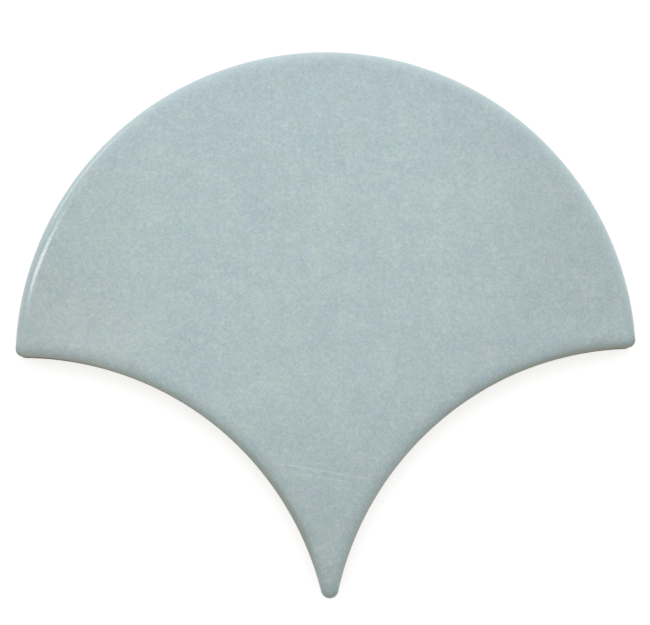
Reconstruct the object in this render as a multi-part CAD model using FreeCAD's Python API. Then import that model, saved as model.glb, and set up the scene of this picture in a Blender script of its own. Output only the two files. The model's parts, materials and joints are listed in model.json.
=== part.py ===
import FreeCAD, Part
import math
import os

# Fish scale wall tile: one pressed, glazed and fired ceramic piece, in millimetres.
# It lies on its back. +Z is the normal of the glazed face, +Y points to the crown
# and -Y to the tip. The origin is the middle of the tile's box, on the bedding plane.

# Plan of the tile
tile_width = 120.0  # across the two shoulders
tile_height = 106.0  # from the top of the crown to the end of the tip
crown_rise = 57.0  # from the middle of a shoulder's rounding up to the top of the crown
flank_radius = 60.0  # the hollow flanks, which the crowns of the next course nest in
shoulder_radius = 1.5
tip_radius = 1.7

# Section of the tile
tile_thickness = 9.0
edge_width = 3.0  # the rounded edge of the face, measured in from the wall
edge_drop = 2.4  # and measured down from the face
face_corner_radius = 0.5  # the corners of the flat part of the face
wall_draft = 0.1  # how far the wall leans in from the rim down to the back
back_bevel = 0.4  # the arris between the wall and the back

# Keying grooves across the back, for the adhesive
groove_depth = 0.8
groove_width = 5.0
rib_width = 3.0
key_margin = 6.0  # the plain border round the grooves

edge_bands = 8  # bands that the rounded edge is lofted in, each under 0.02 mm off the ellipse


def point(x, y, z=0.0):
    return FreeCAD.Vector(x, y, z)


def towards(start, end, distance):
    """The point at a distance from start, on the way to end."""
    return start + (end - start).normalize() * distance


def meeting(a, reach_a, b, reach_b):
    """The point that lies reach_a from a and reach_b from b, on the right of the way from a to b."""
    way = b - a
    along = (reach_a**2 - reach_b**2 + way.Length**2) / (2 * way.Length)
    across = math.sqrt(reach_a**2 - along**2)
    way.normalize()
    return a + way * along + point(way.y, -way.x) * across


def mirrored(p):
    return point(-p.x, p.y, p.z)


# The outline at the rim is six arcs that meet without a kink. The crown's radius follows
# from its width and rise, and a flank's middle from the shoulder and the tip it runs between.
crown_top = tile_height / 2
shoulder_middle = point(tile_width / 2 - shoulder_radius, crown_top - crown_rise)
crown_radius = (shoulder_middle.x**2 + crown_rise**2 - shoulder_radius**2) / (
    2 * (crown_rise - shoulder_radius)
)
crown_middle = point(0, crown_top - crown_radius)
tip_middle = point(0, tip_radius - tile_height / 2)
flank_middle = meeting(
    tip_middle, flank_radius + tip_radius, shoulder_middle, flank_radius + shoulder_radius
)


def outline(inset, z, corner_share=0.0):
    """The tile's outline, moved in by inset, as a closed wire at height z.

    corner_share runs from 0 at the rim to 1 at the flat of the face, where the shoulders
    and the tip have the face's own corner radius.
    """
    crown_r = crown_radius - inset
    flank_r = flank_radius + inset
    shoulder_r = shoulder_radius + (face_corner_radius - shoulder_radius) * corner_share
    tip_r = tip_radius + (face_corner_radius - tip_radius) * corner_share

    shoulder = meeting(flank_middle, flank_r + shoulder_r, crown_middle, crown_r - shoulder_r)
    tip_rise = math.sqrt((flank_r + tip_r) ** 2 - flank_middle.x**2)
    tip = point(0, flank_middle.y + tip_rise)

    crown_end = towards(crown_middle, shoulder, crown_r)
    flank_start = towards(flank_middle, shoulder, flank_r)
    flank_end = towards(flank_middle, tip, flank_r)
    shoulder_way = (crown_end - shoulder) + (flank_start - shoulder)
    flank_way = (flank_start - flank_middle) + (flank_end - flank_middle)
    shoulder_bend = towards(shoulder, shoulder + shoulder_way, shoulder_r)
    flank_bend = towards(flank_middle, flank_middle + flank_way, flank_r)

    crown_arc = (mirrored(crown_end), crown_middle + point(0, crown_r), crown_end)
    shoulder_arc = (crown_end, shoulder_bend, flank_start)
    flank_arc = (flank_start, flank_bend, flank_end)
    tip_arc = (flank_end, tip - point(0, tip_r), mirrored(flank_end))
    left_flank_arc = tuple(mirrored(p) for p in reversed(flank_arc))
    left_shoulder_arc = tuple(mirrored(p) for p in reversed(shoulder_arc))

    lift = point(0, 0, z)
    arcs = (crown_arc, shoulder_arc, flank_arc, tip_arc, left_flank_arc, left_shoulder_arc)
    return Part.Wire([Part.Arc(*[p + lift for p in arc]).toShape() for arc in arcs])


def pressed_body():
    """The biscuit up to the rim: a back arris, then a wall that leans out to the rim."""
    rim_height = tile_thickness - edge_drop
    sections = [
        outline(wall_draft + back_bevel, 0),
        outline(wall_draft, back_bevel),
        outline(0, rim_height),
    ]
    return Part.makeLoft(sections, True, True)


def rounded_face():
    """The face with its soft edge, a quarter of an ellipse that runs all round the tile."""
    rim_height = tile_thickness - edge_drop
    sections = []
    for i in range(edge_bands + 1):
        turn = math.pi / 2 * i / edge_bands
        inset = edge_width * (1 - math.cos(turn))
        height = rim_height + edge_drop * math.sin(turn)
        sections.append(outline(inset, height, inset / edge_width))
    return Part.makeLoft(sections, True, True)


def keying_grooves():
    """Straight grooves across the back, from the crown towards the tip, inside the plain border."""
    bed = Part.Face(outline(key_margin, 0, 1)).extrude(point(0, 0, groove_depth))
    grooves = []
    top = crown_top - key_margin
    while top - groove_width > bed.BoundBox.YMin:
        strip = Part.makeBox(tile_width, groove_width, groove_depth)
        strip.translate(point(-tile_width / 2, top - groove_width))
        grooves.append(strip)
        top -= groove_width + rib_width
    return bed.common(Part.makeCompound(grooves))


def fish_scale_tile():
    whole = pressed_body().fuse(rounded_face()).removeSplitter()
    return whole.cut(keying_grooves())


tile = fish_scale_tile()
print("crown radius", round(crown_radius, 3), "volume", round(tile.Volume, 1), "valid", tile.isValid())
print("box", tile.optimalBoundingBox(False), "solids", len(tile.Solids), "faces", len(tile.Faces))

os.makedirs("parts", exist_ok=True)
tile.exportStep("parts/fish_scale_tile.step")
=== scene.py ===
import json
import math

import bmesh
import bpy
from mathutils import Matrix, Vector

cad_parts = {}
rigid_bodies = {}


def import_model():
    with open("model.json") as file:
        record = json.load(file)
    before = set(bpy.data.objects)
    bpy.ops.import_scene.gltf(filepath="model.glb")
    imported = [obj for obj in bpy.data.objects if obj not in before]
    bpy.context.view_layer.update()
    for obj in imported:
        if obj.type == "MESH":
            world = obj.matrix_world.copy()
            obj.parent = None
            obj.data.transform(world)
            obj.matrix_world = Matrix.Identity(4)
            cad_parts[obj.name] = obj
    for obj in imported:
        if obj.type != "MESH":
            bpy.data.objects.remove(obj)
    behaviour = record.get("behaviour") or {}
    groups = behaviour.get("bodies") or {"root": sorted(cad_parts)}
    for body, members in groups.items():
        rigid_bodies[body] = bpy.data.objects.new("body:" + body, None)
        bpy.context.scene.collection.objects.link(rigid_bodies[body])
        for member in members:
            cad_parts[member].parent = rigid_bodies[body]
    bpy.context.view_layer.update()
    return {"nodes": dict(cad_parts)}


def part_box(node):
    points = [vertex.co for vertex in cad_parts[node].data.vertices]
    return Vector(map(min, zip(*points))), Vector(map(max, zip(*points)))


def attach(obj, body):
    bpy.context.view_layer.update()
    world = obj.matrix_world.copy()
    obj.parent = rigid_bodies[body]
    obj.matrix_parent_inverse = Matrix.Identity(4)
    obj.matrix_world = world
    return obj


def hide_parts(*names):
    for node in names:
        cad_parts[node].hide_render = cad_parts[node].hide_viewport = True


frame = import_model()
print("frame loaded:", ", ".join(frame["nodes"]))

mm = 0.001
tileLow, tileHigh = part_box("fish_scale_tile")
tileWidth = tileHigh[0] - tileLow[0]
tileHeight = tileHigh[1] - tileLow[1]
tileThick = tileHigh[2] - tileLow[2]

seedSize = 1 * mm  # the small plane that a piece or an outline starts from
weldReach = 0.001 * mm  # points closer than this are one

# the tile's form, as the pressed solid has it
tile = {
    "crownRise": 57.0 * mm,  # shoulder's rounding up to the top of the crown
    "flankRadius": 60.0 * mm,
    "shoulderRadius": 1.5 * mm,
    "tipRadius": 1.7 * mm,
    "edgeWidth": 3.0 * mm,  # soft edge of the face
    "edgeDrop": 2.4 * mm,
    "faceCorner": 0.5 * mm,  # corners of the flat of the face
    "wallDraft": 0.1 * mm,
    "wallHold": 1.4 * mm,  # plain foot of the wall, which the run of the glaze doesn't reach
    "backBevel": 0.4 * mm,
    # rings of the rounded back arris: shares of the bevel, in from the wall and up from the back
    "arris": [(0.0, 1.0), (0.10, 0.60), (0.37, 0.23), (1.0, 0.0)],
    "faceHold": 0.35 * mm,  # narrow band that holds the flat of the face
    "smoothAngle": 32,
    "edgeRings": 20,
    "crownSteps": 200,
    "flankSteps": 90,
    "shoulderSteps": 10,
    "tipSteps": 16,
}

# where the glaze ends on the wall
glazeLine = {
    "height": 6.40 * mm,
    "run": 0.30 * mm,  # how far it runs up and down along the wall
    "runLength": 11.0 * mm,
    "runDetail": 2,
    "lip": 0.03 * mm,  # thickness of the glaze at its end
    # rings down to the end of the glaze: height from the line, share of the lip, share of the run
    "glazedRings": [(0.12 * mm, 0.0, 0.5), (0.04 * mm, 0.25, 1.0), (0.0, 1.0, 1.0)],
    "bareRing": (-0.60 * mm, 1.0, 0.7),
}

# keying grooves across the back
keying = {
    "depth": 0.8 * mm,
    "grooveWidth": 5.0 * mm,
    "ribWidth": 3.0 * mm,
    "margin": 6.0 * mm,
    "softEdge": 0.18 * mm,
    "cutterReach": 1.0 * mm,  # how far the cutter stands out below the back
    "stripHeight": 10.0 * mm,
    "stripOverhang": 1.1,
    "flat": 0.95,  # upward part of a flat face's normal, at least
    "upright": 0.05,  # and of a groove's side, at most
    "slack": 0.01 * mm,
    "finishSlack": 0.05 * mm,
}


def crossing(a, reachA, b, reachB):
    # the point at two distances from two middles, on the right of the way from a to b
    way = b - a
    along = (reachA**2 - reachB**2 + way.length**2) / (2 * way.length)
    across = math.sqrt(reachA**2 - along**2)
    way.normalize()
    return a + way * along + Vector((way.y, -way.x)) * across


# middles of the arcs in the outline, and the height of the rim
crownTop = tileHeight / 2
shoulderMiddle = Vector((tileWidth / 2 - tile["shoulderRadius"], crownTop - tile["crownRise"]))
crownRadius = (shoulderMiddle.x**2 + tile["crownRise"]**2 - tile["shoulderRadius"]**2) / (
    2 * (tile["crownRise"] - tile["shoulderRadius"]))
crownMiddle = Vector((0, crownTop - crownRadius))
tipMiddle = Vector((0, tile["tipRadius"] - crownTop))
flankMiddle = crossing(tipMiddle, tile["flankRadius"] + tile["tipRadius"],
                       shoulderMiddle, tile["flankRadius"] + tile["shoulderRadius"])
rimHeight = tileThick - tile["edgeDrop"]


def turnBetween(middle, start, end):
    # clockwise angle from start to end, as spin counts it
    a = start - middle
    b = end - middle
    return -math.atan2(a.x * b.y - a.y * b.x, a.dot(b))


def onLeft(p):
    return Vector((-p.x, p.y))


def spinRing(inset, height, cornerShare):
    # one closed outline in edit mode: a point spun round the six arcs,
    # clockwise from the left shoulder
    crownR = crownRadius - inset
    flankR = tile["flankRadius"] + inset
    shoulderR = tile["shoulderRadius"] + (tile["faceCorner"] - tile["shoulderRadius"]) * cornerShare
    tipR = tile["tipRadius"] + (tile["faceCorner"] - tile["tipRadius"]) * cornerShare
    shoulder = crossing(flankMiddle, flankR + shoulderR, crownMiddle, crownR - shoulderR)
    tip = Vector((0, flankMiddle.y + math.sqrt((flankR + tipR)**2 - flankMiddle.x**2)))
    crownEnd = crownMiddle + (shoulder - crownMiddle).normalized() * crownR
    flankStart = flankMiddle + (shoulder - flankMiddle).normalized() * flankR
    flankEnd = flankMiddle + (tip - flankMiddle).normalized() * flankR

    crownTurn = 2 * turnBetween(crownMiddle, crownMiddle + Vector((0, 1)), crownEnd)
    shoulderTurn = turnBetween(shoulder, crownEnd, flankStart)
    flankTurn = turnBetween(flankMiddle, flankStart, flankEnd)
    tipTurn = 2 * turnBetween(tip, flankEnd, tip - Vector((0, 1)))
    arcs = [
        (crownMiddle, crownTurn, tile["crownSteps"]),
        (shoulder, shoulderTurn, tile["shoulderSteps"]),
        (flankMiddle, flankTurn, tile["flankSteps"]),
        (tip, tipTurn, tile["tipSteps"]),
        (onLeft(flankMiddle), flankTurn, tile["flankSteps"]),
        (onLeft(shoulder), shoulderTurn, tile["shoulderSteps"]),
    ]
    start = onLeft(crownEnd)
    bpy.ops.mesh.select_all(action="DESELECT")
    bpy.ops.mesh.primitive_plane_add(size=seedSize, location=(start.x, start.y, height))
    bpy.ops.mesh.merge(type="CENTER")
    for middle, turn, steps in arcs:
        centre = (middle.x, middle.y, height)
        bpy.ops.mesh.spin(steps=steps, angle=turn, center=centre, axis=(0, 0, 1))
    bpy.ops.mesh.select_linked()
    bpy.ops.mesh.remove_doubles(threshold=weldReach)  # closes the ring


def newPiece(name):
    # an empty mesh in edit mode
    bpy.ops.object.select_all(action="DESELECT")
    bpy.ops.mesh.primitive_plane_add(size=seedSize, location=(0, 0, 0))
    piece = bpy.context.object
    piece.name = name
    bpy.ops.object.mode_set(mode="EDIT")
    bpy.ops.mesh.select_all(action="SELECT")
    bpy.ops.mesh.delete(type="VERT")
    return piece


def pickPiece(piece):
    bpy.ops.object.select_all(action="DESELECT")
    bpy.context.view_layer.objects.active = piece
    piece.select_set(True)


def applyModifier(piece, name):
    pickPiece(piece)
    bpy.ops.object.modifier_apply(modifier=name)


# finishes

noiseSpan = (0.25, 0.75)  # most of a noise lies between these


def screen(r, g, b):
    # a colour as it looks on screen, 0 to 255, made linear for the shader
    def straight(c):
        c /= 255
        return c / 12.92 if c < 0.04045 else ((c + 0.055) / 1.055)**2.4
    return (straight(r), straight(g), straight(b), 1.0)


def put(tree, kind, sockets=None, **settings):
    node = tree.nodes.new(kind)
    for name, value in settings.items():
        setattr(node, name, value)
    for name, value in (sockets or {}).items():
        node.inputs[name].default_value = value
    return node


def noise(tree, vector, scale, detail=2.0, roughness=0.5):
    node = put(tree, "ShaderNodeTexNoise", {"Scale": scale, "Detail": detail, "Roughness": roughness})
    tree.links.new(vector, node.inputs["Vector"])
    return node.outputs[0]


def fade(tree, value, low, high, toLow=0.0, toHigh=1.0, kind="SMOOTHSTEP"):
    sockets = {"From Min": low, "From Max": high, "To Min": toLow, "To Max": toHigh}
    node = put(tree, "ShaderNodeMapRange", sockets, interpolation_type=kind)
    tree.links.new(value, node.inputs["Value"])
    return node.outputs[0]


def slope(tree, value, stretch, kind="SMOOTHSTEP"):
    # a fade over a stretch of the tile: from and to in mm, then the value at each
    start, end, toStart, toEnd = stretch
    return fade(tree, value, start * mm, end * mm, toStart, toEnd, kind)


def sums(tree, operation, *values):
    node = put(tree, "ShaderNodeMath", operation=operation)
    for socket, value in zip(node.inputs, values):
        if isinstance(value, (int, float)):
            socket.default_value = value
        else:
            tree.links.new(value, socket)
    return node.outputs[0]


def product(tree, first, *others):
    for other in others:
        first = sums(tree, "MULTIPLY", first, other)
    return first


def blendColour(tree, share, a, b, how="MIX"):
    node = put(tree, "ShaderNodeMix", data_type="RGBA", blend_type=how)
    for index, value in ((0, share), (6, a), (7, b)):
        if isinstance(value, (int, float, tuple)):
            node.inputs[index].default_value = value
        else:
            tree.links.new(value, node.inputs[index])
    return node.outputs[2]


def placed(tree, vector, location=(0, 0, 0), turn=0.0, scale=(1, 1, 1), kind="POINT"):
    sockets = {"Location": location, "Rotation": (0, 0, turn), "Scale": scale}
    node = put(tree, "ShaderNodeMapping", sockets, vector_type=kind)
    tree.links.new(vector, node.inputs["Vector"])
    return node.outputs[0]


def axesOf(tree, vector):
    node = put(tree, "ShaderNodeSeparateXYZ")
    tree.links.new(vector, node.inputs[0])
    return node.outputs


def distanceFrom(tree, vector, x, y):
    # how far a spot of the tile is from x, y, seen in plan
    node = put(tree, "ShaderNodeVectorMath", operation="LENGTH")
    tree.links.new(placed(tree, vector, (-x, -y, 0), scale=(1, 1, 0)), node.inputs[0])
    return node.outputs["Value"]


def bumped(tree, height, strength, distance):
    node = put(tree, "ShaderNodeBump", {"Strength": strength, "Distance": distance})
    tree.links.new(height, node.inputs["Height"])
    return node.outputs[0]


def newGroup(name, inputs, outputs):
    group = bpy.data.node_groups.new(name, "ShaderNodeTree")
    for label, kind in inputs:
        group.interface.new_socket(name=label, in_out="INPUT", socket_type=kind)
    for label, kind in outputs:
        group.interface.new_socket(name=label, in_out="OUTPUT", socket_type=kind)
    return group, group.nodes.new("NodeGroupInput"), group.nodes.new("NodeGroupOutput")


flecking = {
    "detail": 3.0,
    "roughness": 0.65,
    "levels": (-0.5, 0.5),
}


def firedFlecks():
    # flecks of two sizes, for the melt of the glaze and the grain of the biscuit
    group, source, result = newGroup(
        "firedFlecks",
        [("Vector", "NodeSocketVector"), ("Fine", "NodeSocketFloat"), ("Coarse", "NodeSocketFloat")],
        [("Flecks", "NodeSocketFloat"), ("Clouds", "NodeSocketFloat")])
    for size, output in (("Fine", "Flecks"), ("Coarse", "Clouds")):
        sockets = {"Detail": flecking["detail"], "Roughness": flecking["roughness"]}
        spread = put(group, "ShaderNodeTexNoise", sockets)
        group.links.new(source.outputs["Vector"], spread.inputs["Vector"])
        group.links.new(source.outputs[size], spread.inputs["Scale"])
        level = fade(group, spread.outputs[0], *noiseSpan, *flecking["levels"], "LINEAR")
        group.links.new(level, result.inputs[output])
    return group


hair = {
    "core": 0.35,  # share of the half width that is solid
    "taper": 0.15,  # share of the length that each end fades over
    "breakScale": 420.0,
    "breaks": (0.35, 0.6, 0.25, 1.0),
}


def hairStreak():
    # a thin pale line along X from the start of its own axes, broken here and there
    group, source, result = newGroup(
        "hairStreak",
        [("Vector", "NodeSocketVector"), ("Length", "NodeSocketFloat"), ("Width", "NodeSocketFloat")],
        [("Streak", "NodeSocketFloat")])
    axes = axesOf(group, source.outputs["Vector"])
    across = sums(group, "DIVIDE", sums(group, "ABSOLUTE", axes["Y"]), source.outputs["Width"])
    along = sums(group, "DIVIDE", axes["X"], source.outputs["Length"])
    line = fade(group, across, hair["core"], 1.0, 1.0, 0.0)
    start = fade(group, along, 0.0, hair["taper"])
    end = fade(group, along, 1.0 - hair["taper"], 1.0, 1.0, 0.0)
    broken = fade(group, noise(group, source.outputs["Vector"], hair["breakScale"]), *hair["breaks"])
    group.links.new(product(group, line, start, end, broken), result.inputs["Streak"])
    return group


def newFinish(name):
    finish = bpy.data.materials.new(name)
    finish.use_nodes = True
    tree = finish.node_tree
    tree.nodes.clear()
    shader = put(tree, "ShaderNodeBsdfPrincipled")
    output = put(tree, "ShaderNodeOutputMaterial")
    tree.links.new(shader.outputs[0], output.inputs["Surface"])
    coords = put(tree, "ShaderNodeTexCoord")
    return finish, tree, shader, coords.outputs["Object"]


def useFlecks(tree, group, vector, fine, coarse):
    node = put(tree, "ShaderNodeGroup", node_tree=group)
    node.inputs["Fine"].default_value = fine
    node.inputs["Coarse"].default_value = coarse
    tree.links.new(vector, node.inputs["Vector"])
    return node.outputs["Flecks"], node.outputs["Clouds"]


# colour and mottle of the glaze on the face
glaze = {
    "blue": screen(169.5, 184.2, 191.4),
    "olive": screen(171.5, 188.6, 185.0),
    "teal": screen(164, 188, 188),
    "warm": screen(178, 190, 185),  # by the left shoulder
    # how the colours run together; the crown is bluer, and the tip has more olive
    "fleckScale": 700.0,  # flecks about 1.4 mm wide
    "fleckShare": 0.95,
    "cloudScale": 170.0,
    "cloudShare": 0.50,
    "oliveUp": (15, crownTop / mm, 0.5, 0.2),
    "oliveTip": (-28, -50, 0.0, 0.3),
    "tealScale": 400.0,
    "tealDetail": 3.0,
    "tealPools": (0.48, 0.75, 0.0, 0.5),
    "warmMiddle": (-52 * mm, -6 * mm),
    "warmOut": (5, 26, 0.35, 0.0),
    # mist, fine grain, and the thin darker veins where the cells of the melt meet
    "mistScale": 150.0,
    "mistDetail": 3.0,
    "mistRoughness": 1.0,
    "mistLevels": (0.935, 1.065),
    "grainScale": 2300.0,
    "grainRoughness": 0.6,
    "grainLevels": (0.89, 1.11),
    "veinScale": 900.0,
    "veinDetail": 1.0,
    "veinEdge": (0.0, 0.05, 0.955, 1.012),
    "cellLevels": (0.96, 1.04),
    "redPower": 1.22,  # pale spots of the mottle are warmer and deep ones bluer
    "bluePower": 0.80,
    # darker towards the shoulders, the tip and the left end; painted shade darkens the face from the crown
    # down to the tip, and painted light lifts the low side of the shoulders
    "deepMiddle": (-8 * mm, 16 * mm),
    "deepOut": (26, 62, 1.0, 0.905),
    "paintedShadeUp": (-48, 45, 0.943, 1.027),
    "deepLeft": (-56, -24, 0.968, 1.0),
    "paintedLightLeft": (-28, -46, 0.0, 0.05),
    "paintedLightRight": (28, 46, 0.0, 0.03),
    "paintedLightLow": (6, -4, 0.0, 1.0),
    # glossy, with a slow wave in the surface
    "gloss": (0.15, 0.19),
    "ior": 1.52,
    "waveScale": 85.0,
    "waveRoughness": 0.4,
    "peelScale": 700.0,
    "peelDetail": 1.0,
    "peelShare": 0.01,
    "bumpStrength": 0.5,
    "bumpDepth": 0.05 * mm,
}

# pale hair lines in the glaze
streaks = {
    "colour": screen(205, 214, 205),
    "width": 0.28 * mm,
    "lines": [  # start and end on the face, in mm, and how strong
        ((-13.00, -26.35), (12.40, -30.95), 0.24),
        ((-9.60, -28.20), (5.00, -30.95), 0.22),
        ((-22.80, -9.50), (-5.00, -12.35), 0.10),
    ],
}

# as the edge falls away the glaze breaks pale round the crown, partly painted light where the crown's edge
# faces the light, and thins to olive along the flanks, partly painted shade where the flanks' edge turns
# from it
glazeEdge = {
    "paleBreakAndPaintedLight": screen(197, 220, 223),
    "thinGlazeAndPaintedShade": screen(115, 124, 103),
    "dryWashAndPaintedShade": screen(90, 89, 75),
    # start below the face and end above the rim
    "paleFall": (0.02 * mm, 0.9 * mm),
    "thinFall": (0.3 * mm, 0.6 * mm),
    # the flanks' side of the edge, inwards from the crown and below the shoulders
    "flankBand": (3.0 * mm, 0.8 * mm),
    "flankLow": (-2.5, -5.0, 0.0, 1.0),
    "paleUp": (-2, 14, 0.3, 1.0),
    "paleLeft": (-58, -40, 0.65, 1.0),
    "paleShare": 0.64,
    "thinLeft": (-6, 4, 1.0, 0.8),
    "paintedShadeRight": (4, 40, 0.0, 0.7),
    "thinTip": (-51, -44, 0.5, 1.0),
    # power of the fall: it starts furthest in on the left of the tip
    "onsetLeft": (-38, -6, 2.1, 0.95),
    "onsetRight": (-6, 3, 0.0, 1.05),
    # on the wall of the flanks it is only a dry wash, dark in part as painted shade
    "washFrom": 0.5 * mm,  # above the rim
    "washTo": 0.1 * mm,  # below it
    "washShare": 0.9,
    "dryUp": (6, -2, 0.0, 0.7),
}


def meltColour(tree, place, flecks, clouds):
    # blue and olive run into each other, with teal where the glaze pooled
    up = axesOf(tree, place)["Y"]
    melt = sums(tree, "ADD", slope(tree, up, glaze["oliveUp"]), slope(tree, up, glaze["oliveTip"]))
    melt = sums(tree, "MULTIPLY_ADD", flecks, glaze["fleckShare"], melt)
    melt = sums(tree, "MULTIPLY_ADD", clouds, glaze["cloudShare"], melt)
    colour = blendColour(tree, melt, glaze["blue"], glaze["olive"])
    pools = noise(tree, place, glaze["tealScale"], glaze["tealDetail"])
    colour = blendColour(tree, fade(tree, pools, *glaze["tealPools"]), colour, glaze["teal"])
    warmth = slope(tree, distanceFrom(tree, place, *glaze["warmMiddle"]), glaze["warmOut"])
    return blendColour(tree, warmth, colour, glaze["warm"])


def mottleTint(tree, place):
    mist = noise(tree, place, glaze["mistScale"], glaze["mistDetail"], glaze["mistRoughness"])
    mist = fade(tree, mist, *noiseSpan, *glaze["mistLevels"], "LINEAR")
    grain = noise(tree, place, glaze["grainScale"], roughness=glaze["grainRoughness"])
    grain = fade(tree, grain, *noiseSpan, *glaze["grainLevels"], "LINEAR")
    cells = noise(tree, place, glaze["veinScale"], glaze["veinDetail"])
    fromVein = sums(tree, "ABSOLUTE", sums(tree, "SUBTRACT", cells, 0.5))
    veins = fade(tree, fromVein, *glaze["veinEdge"])
    cells = fade(tree, cells, *noiseSpan, *glaze["cellLevels"], "LINEAR")
    mottle = product(tree, grain, veins, cells, mist)
    tint = put(tree, "ShaderNodeCombineColor")
    tree.links.new(sums(tree, "POWER", mottle, glaze["redPower"]), tint.inputs["Red"])
    tree.links.new(mottle, tint.inputs["Green"])
    tree.links.new(sums(tree, "POWER", mottle, glaze["bluePower"]), tint.inputs["Blue"])
    return tint.outputs[0]


# painted shade and painted light in the glaze's tone: darker towards the ends, painted shade from the crown
# down to the tip, painted light on the low side of the shoulders
def toneAndPaintedShade(tree, place):
    axes = axesOf(tree, place)
    across, up = axes["X"], axes["Y"]
    # painted light on the low side of the shoulders
    paintedLift = sums(tree, "ADD", slope(tree, across, glaze["paintedLightLeft"]), slope(tree, across, glaze["paintedLightRight"]))
    paintedLift = product(tree, paintedLift, slope(tree, up, glaze["paintedLightLow"]))
    # darker towards the ends and the left, with painted shade from the crown down to the tip
    return product(
        tree,
        slope(tree, distanceFrom(tree, place, *glaze["deepMiddle"]), glaze["deepOut"]),
        slope(tree, up, glaze["paintedShadeUp"], "LINEAR"),
        slope(tree, across, glaze["deepLeft"]),
        sums(tree, "ADD", paintedLift, 1.0))


def addStreaks(tree, place, colour, streakGroup):
    for start, end, strength in streaks["lines"]:
        a, b = Vector(start) * mm, Vector(end) * mm
        way = b - a
        own = placed(tree, place, (a.x, a.y, 0), math.atan2(way.y, way.x), kind="TEXTURE")
        node = put(tree, "ShaderNodeGroup", node_tree=streakGroup)
        node.inputs["Length"].default_value = way.length
        node.inputs["Width"].default_value = streaks["width"]
        tree.links.new(own, node.inputs["Vector"])
        share = product(tree, node.outputs["Streak"], strength)
        colour = blendColour(tree, share, colour, streaks["colour"])
    return colour


def edgeShares(tree, place):
    # how pale, how thin and how much of a dry wash the glaze is; the pale crown rim is partly painted light,
    # and the olive edge and dark wash of the flanks are partly painted shade
    axes = axesOf(tree, place)
    x, y, z = axes["X"], axes["Y"], axes["Z"]

    def downEdge(belowFace, aboveRim):
        return fade(tree, z, tileThick - belowFace, rimHeight + aboveRim, kind="LINEAR")

    fromCrown = distanceFrom(tree, place, crownMiddle.x, crownMiddle.y)
    bandStart, bandEnd = glazeEdge["flankBand"]
    flank = fade(tree, fromCrown, crownRadius - bandStart, crownRadius - bandEnd, 1.0, 0.0)
    flank = sums(tree, "MAXIMUM", flank, slope(tree, y, glazeEdge["flankLow"]))

    # painted light, with a paler glaze break, on the crown's rim
    crown = sums(tree, "SUBTRACT", slope(tree, y, glazeEdge["paleUp"]), flank)
    crown = product(tree, crown, slope(tree, x, glazeEdge["paleLeft"]))
    paleAndPaintedLight = product(tree, downEdge(*glazeEdge["paleFall"]), crown, glazeEdge["paleShare"])

    # painted shade: the flanks' olive edge is darker towards the right
    bareAndShaded = sums(tree, "ADD", slope(tree, x, glazeEdge["thinLeft"]), slope(tree, x, glazeEdge["paintedShadeRight"]))
    bareAndShaded = product(tree, bareAndShaded, slope(tree, y, glazeEdge["thinTip"]))
    onset = sums(tree, "ADD", slope(tree, x, glazeEdge["onsetLeft"], "LINEAR"),
                 slope(tree, x, glazeEdge["onsetRight"]))
    thinAndPaintedShade = product(tree, sums(tree, "POWER", downEdge(*glazeEdge["thinFall"]), onset), flank, bareAndShaded)

    # a dark dry wash on the flanks' wall, partly painted shade
    wall = fade(tree, z, rimHeight + glazeEdge["washFrom"], rimHeight - glazeEdge["washTo"])
    dryWashAndPaintedShade = product(tree, wall, flank, glazeEdge["washShare"])
    dry = product(tree, wall, slope(tree, y, glazeEdge["dryUp"]))
    return sums(tree, "MAXIMUM", paleAndPaintedLight, 0.0), thinAndPaintedShade, dryWashAndPaintedShade, dry


def glazeFinish(flecksGroup, streakGroup):
    finish, tree, shader, place = newFinish("glazeFinish")
    flecks, clouds = useFlecks(tree, flecksGroup, place, glaze["fleckScale"], glaze["cloudScale"])
    colour = meltColour(tree, place, flecks, clouds)
    colour = blendColour(tree, 1.0, colour, mottleTint(tree, place), "MULTIPLY")
    # painted shade and painted light laid over the glaze's tone
    colour = blendColour(tree, 1.0, colour, toneAndPaintedShade(tree, place), "MULTIPLY")
    colour = addStreaks(tree, place, colour, streakGroup)
    paleAndPaintedLight, thinAndPaintedShade, dryWashAndPaintedShade, dry = edgeShares(tree, place)
    # painted light on the crown's rim, painted shade on the flanks' edge and wall
    colour = blendColour(tree, paleAndPaintedLight, colour, glazeEdge["paleBreakAndPaintedLight"])
    colour = blendColour(tree, thinAndPaintedShade, colour, glazeEdge["thinGlazeAndPaintedShade"])
    colour = blendColour(tree, dryWashAndPaintedShade, colour, glazeEdge["dryWashAndPaintedShade"])
    tree.links.new(colour, shader.inputs["Base Color"])

    gloss = fade(tree, clouds, *flecking["levels"], *glaze["gloss"])
    tree.links.new(sums(tree, "ADD", gloss, dry), shader.inputs["Roughness"])
    shader.inputs["IOR"].default_value = glaze["ior"]
    wave = noise(tree, place, glaze["waveScale"], roughness=glaze["waveRoughness"])
    peel = noise(tree, place, glaze["peelScale"], glaze["peelDetail"])
    height = sums(tree, "ADD", wave, product(tree, peel, glaze["peelShare"]))
    normal = bumped(tree, height, glaze["bumpStrength"], glaze["bumpDepth"])
    tree.links.new(normal, shader.inputs["Normal"])
    return finish


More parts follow.
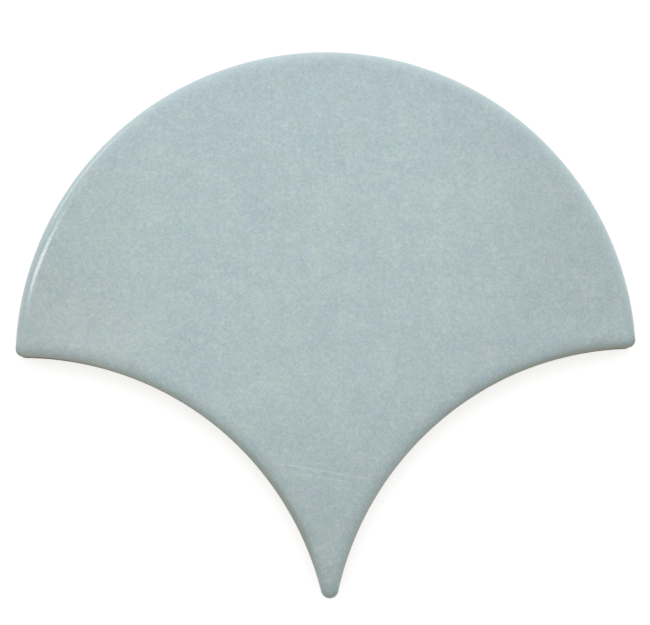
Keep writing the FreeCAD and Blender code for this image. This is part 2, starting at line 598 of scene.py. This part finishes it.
biscuit = {
    "clay": screen(154, 139, 116),
    "darkClay": screen(135, 115, 89),
    "paleClay": screen(190, 175, 150),
    "dust": screen(214, 204, 190),
    # the fired tint is painted shade on the upper wall, darkest under the flanks, and stands also for a
    # stain under the end of the glaze
    "firedStainAndPaintedShade": screen(76, 67, 53),  # under the end of the glaze
    "soaked": screen(128, 130, 117),  # glaze wash on the wall towards the tip
    "grainScale": 2600.0,
    "paleGrains": (0.05, 0.4, 0.0, 0.5),
    "patchScale": 90.0,
    "darkPatches": (-0.3, 0.3, 0.0, 0.6),
    # up the wall, and along the tile
    "firedStainAndPaintedShadeUp": (2.5, 5.5, 0.0, 0.9),
    "firedStainAndPaintedShadeAlong": (10, -3, 0.5, 1.0),
    "soakedUp": (1.0, 2.5, 0.0, 1.0),
    "soakedAlong": (-14, -30, 0.0, 0.85),
    # kiln dust on the bearing faces of the back
    "dustUp": (0.05, 0.45, 1.0, 0.0),
    "dustScale": 240.0,
    "dustDetail": 4.0,
    "dustRoughness": 0.6,
    "dustWear": (0.38, 0.62),
    "dustShare": 0.55,
    "roughness": (0.78, 0.95),
    "specular": 0.12,
    "bumpStrength": 0.6,
    "bumpDepth": 0.08 * mm,
    "patchBump": 0.6,
}


def biscuitFinish(flecksGroup):
    finish, tree, shader, place = newFinish("biscuitFinish")
    grain, patches = useFlecks(tree, flecksGroup, place, biscuit["grainScale"], biscuit["patchScale"])
    axes = axesOf(tree, place)
    dark = fade(tree, patches, *biscuit["darkPatches"])
    colour = blendColour(tree, dark, biscuit["clay"], biscuit["darkClay"])
    colour = blendColour(tree, fade(tree, grain, *biscuit["paleGrains"]), colour, biscuit["paleClay"])
    # painted shade on the upper wall, and the glaze wash towards the tip
    for name in ("firedStainAndPaintedShade", "soaked"):
        up = slope(tree, axes["Z"], biscuit[name + "Up"])
        along = slope(tree, axes["Y"], biscuit[name + "Along"])
        colour = blendColour(tree, product(tree, up, along), colour, biscuit[name])

    worn = noise(tree, place, biscuit["dustScale"], biscuit["dustDetail"], biscuit["dustRoughness"])
    worn = fade(tree, worn, *biscuit["dustWear"])
    dust = product(tree, slope(tree, axes["Z"], biscuit["dustUp"]), worn, biscuit["dustShare"])
    colour = blendColour(tree, dust, colour, biscuit["dust"])
    tree.links.new(colour, shader.inputs["Base Color"])

    roughness = fade(tree, grain, *flecking["levels"], *biscuit["roughness"])
    tree.links.new(roughness, shader.inputs["Roughness"])
    shader.inputs["Specular IOR Level"].default_value = biscuit["specular"]
    height = sums(tree, "ADD", grain, product(tree, patches, biscuit["patchBump"]))
    normal = bumped(tree, height, biscuit["bumpStrength"], biscuit["bumpDepth"])
    tree.links.new(normal, shader.inputs["Normal"])
    return finish


# the tile


def sectionRings():
    # inset, height, share of the face's corner, and how far the ring follows the run of the glaze
    rings = []
    for i in range(tile["edgeRings"] + 1):
        turn = math.pi / 2 * (1 - i / tile["edgeRings"])
        inset = tile["edgeWidth"] * (1 - math.cos(turn))
        height = rimHeight + tile["edgeDrop"] * math.sin(turn)
        rings.append((inset, height, inset / tile["edgeWidth"], 0.0))

    bevel, draft = tile["backBevel"], tile["wallDraft"]
    line = glazeLine["height"]
    wall = draft * (rimHeight - line) / (rimHeight - bevel)  # inset of the wall at the line
    for above, lipShare, runShare in glazeLine["glazedRings"] + [glazeLine["bareRing"]]:
        rings.append((wall + lipShare * glazeLine["lip"], line + above, 0.0, runShare))
    lastGlazed = len(rings) - 2

    rings.append((draft, bevel + tile["wallHold"], 0.0, 0.0))
    for inShare, upShare in tile["arris"]:
        rings.append((draft + inShare * bevel, upShare * bevel, 0.0, 0.0))
    return rings, lastGlazed


def buildTile(finishes):
    piece = newPiece("tile")
    for finish in finishes:
        piece.data.materials.append(finish)
    rings, lastGlazed = sectionRings()
    settings = bpy.context.scene.tool_settings

    def assignTo(group, weight):
        piece.vertex_groups.active_index = group.index
        settings.vertex_group_weight = weight
        bpy.ops.object.vertex_group_assign()

    def giveFinish(index):
        piece.active_material_index = index
        bpy.ops.object.material_slot_assign()

    runGroup = piece.vertex_groups.new(name="glazeRun")
    for number, (inset, height, share, run) in enumerate(rings):
        spinRing(inset, height, share)
        assignTo(piece.vertex_groups.new(name="ring%02d" % number), 1.0)
        if run:
            assignTo(runGroup, run)
    print("tile outlines spun:", len(rings))

    def pickRings(*numbers):
        bpy.ops.mesh.select_all(action="DESELECT")
        for number in numbers:
            piece.vertex_groups.active_index = piece.vertex_groups["ring%02d" % number].index
            bpy.ops.object.vertex_group_select()

    # bands from ring to ring, then the flat of the face and the back
    bpy.context.tool_settings.mesh_select_mode = (True, False, False)
    for number in range(len(rings) - 1):
        pickRings(number, number + 1)
        bpy.ops.mesh.bridge_edge_loops()
        giveFinish(0 if number < lastGlazed else 1)
    pickRings(0)
    bpy.ops.mesh.edge_face_add()
    bpy.ops.mesh.inset(thickness=tile["faceHold"])
    bpy.ops.mesh.select_more()
    giveFinish(0)
    pickRings(len(rings) - 1)
    bpy.ops.mesh.edge_face_add()
    giveFinish(1)
    bpy.ops.mesh.select_all(action="SELECT")
    bpy.ops.mesh.normals_make_consistent(inside=False)
    bpy.ops.object.mode_set(mode="OBJECT")
    print("tile skin bridged:", len(piece.data.polygons), "faces")

    # the end of the glaze wanders along the wall
    cloud = bpy.data.textures.new("glazeRun", "CLOUDS")
    cloud.noise_scale = glazeLine["runLength"]
    cloud.noise_depth = glazeLine["runDetail"]
    runs = piece.modifiers.new("run", "DISPLACE")
    runs.texture = cloud
    runs.texture_coords = "LOCAL"
    runs.direction = "Z"
    runs.strength = glazeLine["run"]
    runs.mid_level = 0.5
    runs.vertex_group = "glazeRun"
    applyModifier(piece, "run")
    return piece


def grooveCutters():
    # the bed of the grooves, cut into strips
    bed = newPiece("grooveBed")
    spinRing(keying["margin"], -keying["cutterReach"], 1.0)
    bpy.ops.mesh.edge_face_add()
    rise = keying["cutterReach"] + keying["depth"]
    bpy.ops.mesh.extrude_region_move(TRANSFORM_OT_translate={"value": (0, 0, rise)})
    bpy.ops.mesh.select_all(action="SELECT")
    bpy.ops.mesh.normals_make_consistent(inside=False)
    bpy.ops.object.mode_set(mode="OBJECT")
    bedEnd = min(v.co.y for v in bed.data.vertices)

    pitch = keying["grooveWidth"] + keying["ribWidth"]
    first = crownTop - keying["margin"] - keying["grooveWidth"] / 2
    count = 1 + int((first - keying["grooveWidth"] / 2 - bedEnd) / pitch)
    bpy.ops.object.select_all(action="DESELECT")
    bpy.ops.mesh.primitive_cube_add(size=1.0, location=(0, first, 0))
    strips = bpy.context.object
    strips.name = "grooveStrips"
    strips.scale = (tileWidth * keying["stripOverhang"], keying["grooveWidth"], keying["stripHeight"])
    bpy.ops.object.transform_apply(location=True, rotation=False, scale=True)
    rows = strips.modifiers.new("rows", "ARRAY")
    rows.count = count
    rows.use_relative_offset = False
    rows.use_constant_offset = True
    rows.constant_offset_displace = (0, -pitch, 0)
    applyModifier(strips, "rows")

    trim = strips.modifiers.new("trim", "BOOLEAN")
    trim.operation = "INTERSECT"
    trim.solver = "EXACT"
    trim.object = bed
    applyModifier(strips, "trim")
    bpy.data.objects.remove(bed)
    print("groove strips:", count)
    return strips


def cutGrooves(piece, strips):
    cut = piece.modifiers.new("grooves", "BOOLEAN")
    cut.operation = "DIFFERENCE"
    cut.solver = "EXACT"
    cut.object = strips
    applyModifier(piece, "grooves")
    bpy.data.objects.remove(strips)

    # the mouths and floors of the grooves are soft, as pressed clay is
    bpy.ops.object.mode_set(mode="EDIT")
    bpy.context.tool_settings.mesh_select_mode = (False, True, False)
    bpy.ops.mesh.select_all(action="DESELECT")
    mesh = bmesh.from_edit_mesh(piece.data)
    highest = keying["depth"] + keying["slack"]
    for edge in mesh.edges:
        if len(edge.link_faces) != 2 or max(v.co.z for v in edge.verts) > highest:
            continue
        tilts = sorted(abs(f.normal.z) for f in edge.link_faces)
        edge.select = tilts[0] < keying["upright"] and tilts[1] > keying["flat"]
    mesh.select_flush_mode()
    bmesh.update_edit_mesh(piece.data)
    bpy.ops.mesh.bevel(offset=keying["softEdge"], segments=2, affect="EDGES")
    bpy.ops.object.mode_set(mode="OBJECT")
    for polygon in piece.data.polygons:
        if polygon.center.z < keying["depth"] + keying["finishSlack"]:
            polygon.material_index = 1
    print("grooves cut:", len(piece.data.polygons), "faces")


flecksGroup = firedFlecks()
streakGroup = hairStreak()
tilePiece = buildTile([glazeFinish(flecksGroup, streakGroup), biscuitFinish(flecksGroup)])
cutGrooves(tilePiece, grooveCutters())
tilePiece.vertex_groups.clear()
pickPiece(tilePiece)
bpy.ops.object.shade_smooth_by_angle(angle=math.radians(tile["smoothAngle"]))
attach(tilePiece, "root")
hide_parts("fish_scale_tile")
print("tile done")

# studio

studio = {
    "floorSize": 6.0,
    "floorColour": screen(196, 196, 196),
    "floorGlow": 0.64,
    "floorGap": 0.02 * mm,  # keeps the floor clear of the bearing faces of the back
    # the sky is brightest towards one side and dim on the other
    "sky": {"azimuth": 92, "elevation": 12, "bright": 1.24, "dim": 0.44},
    "camera": {
        "aim": Vector((0.03, 2.65, 0.0)) * mm,
        "distance": 700 * mm,
        "azimuth": -102.0,
        "elevation": 86.12,
        "roll": -0.91,
        "lens": 198.26,
        "sensor": 36.0,
        "clipStart": 0.01,
    },
    # place as azimuth, elevation and distance from the tile, then size, turn and strength;
    # the key only lights and the two small windows only mirror in the glaze
    "lamps": {
        "softKey": {
            "azimuth": 100, "elevation": 75, "distance": 0.22,
            "size": (0.14, 0.14), "turn": 0, "watts": 0.068, "mirrored": False,
        },
        "leftWindow": {
            "azimuth": 157.0, "elevation": 39.5, "distance": 1.0,
            "size": (0.57, 0.125), "turn": -73, "watts": 1.60, "mirrored": True,
        },
        "lowWindow": {
            "azimuth": 139, "elevation": 5.5, "distance": 1.0,
            "size": (0.44, 0.26), "turn": 0, "watts": 1.0, "mirrored": True,
        },
    },
}


def pointAt(azimuth, elevation, distance, centre=Vector((0, 0, 0))):
    a, e = math.radians(azimuth), math.radians(elevation)
    way = Vector((math.cos(e) * math.cos(a), math.cos(e) * math.sin(a), math.sin(e)))
    return centre + way * distance


def addFloor():
    bpy.ops.object.select_all(action="DESELECT")
    bpy.ops.mesh.primitive_plane_add(size=studio["floorSize"], location=(0, 0, -studio["floorGap"]))
    floor = bpy.context.object
    floor.name = "floor"
    paper = bpy.data.materials.new("paperFloor")
    paper.use_nodes = True
    tree = paper.node_tree
    tree.nodes.clear()
    matte = put(tree, "ShaderNodeBsdfDiffuse", {"Color": studio["floorColour"]})
    glow = put(tree, "ShaderNodeEmission", {"Color": (1, 1, 1, 1)})
    path = put(tree, "ShaderNodeLightPath")
    seen = sums(tree, "MAXIMUM", path.outputs["Is Camera Ray"], path.outputs["Is Glossy Ray"])
    seen = sums(tree, "MAXIMUM", seen, path.outputs["Is Transmission Ray"])
    tree.links.new(product(tree, seen, studio["floorGlow"]), glow.inputs["Strength"])
    both = put(tree, "ShaderNodeAddShader")
    output = put(tree, "ShaderNodeOutputMaterial")
    tree.links.new(matte.outputs[0], both.inputs[0])
    tree.links.new(glow.outputs[0], both.inputs[1])
    tree.links.new(both.outputs[0], output.inputs["Surface"])
    floor.data.materials.append(paper)


def addSky():
    sky = studio["sky"]
    world = bpy.data.worlds.new("studioSky")
    bpy.context.scene.world = world
    world.use_nodes = True
    tree = world.node_tree
    background = tree.nodes["Background"]
    background.inputs["Color"].default_value = (1, 1, 1, 1)
    coords = put(tree, "ShaderNodeTexCoord")
    facing = put(tree, "ShaderNodeVectorMath", operation="DOT_PRODUCT")
    tree.links.new(coords.outputs["Generated"], facing.inputs[0])
    facing.inputs[1].default_value = pointAt(sky["azimuth"], sky["elevation"], 1.0)
    level = fade(tree, facing.outputs["Value"], -1.0, 1.0, sky["dim"], sky["bright"], "LINEAR")
    tree.links.new(level, background.inputs["Strength"])


def addLamps():
    for name, lamp in studio["lamps"].items():
        spot = pointAt(lamp["azimuth"], lamp["elevation"], lamp["distance"])
        bpy.ops.object.light_add(type="AREA", location=spot)
        light = bpy.context.object
        light.name = name
        light.data.shape = "ELLIPSE"
        light.data.size, light.data.size_y = lamp["size"]
        light.data.energy = lamp["watts"]
        light.visible_glossy = lamp["mirrored"]
        light.visible_diffuse = not lamp["mirrored"]
        light.visible_camera = False
        turn = Matrix.Rotation(math.radians(lamp["turn"]), 3, "Z")
        light.rotation_euler = ((-spot).to_track_quat("-Z", "Y").to_matrix() @ turn).to_euler()


def addCamera():
    look = studio["camera"]
    bpy.ops.object.camera_add()
    camera = bpy.context.object
    camera.name = "camera"
    eye = pointAt(look["azimuth"], look["elevation"], look["distance"], look["aim"])
    back = (eye - look["aim"]).normalized()
    right = Vector((0, 1, 0)).cross(back).normalized()  # the crown is up in the picture
    turn = Matrix((right, back.cross(right), back)).transposed().to_4x4()
    roll = Matrix.Rotation(math.radians(look["roll"]), 4, "Z")
    camera.matrix_world = Matrix.Translation(eye) @ turn @ roll
    camera.data.sensor_width = look["sensor"]
    camera.data.lens = look["lens"]
    camera.data.clip_start = look["clipStart"]
    bpy.context.scene.camera = camera


addFloor()
addSky()
addLamps()
addCamera()
bpy.context.scene.view_settings.view_transform = "Standard"
print("studio set")
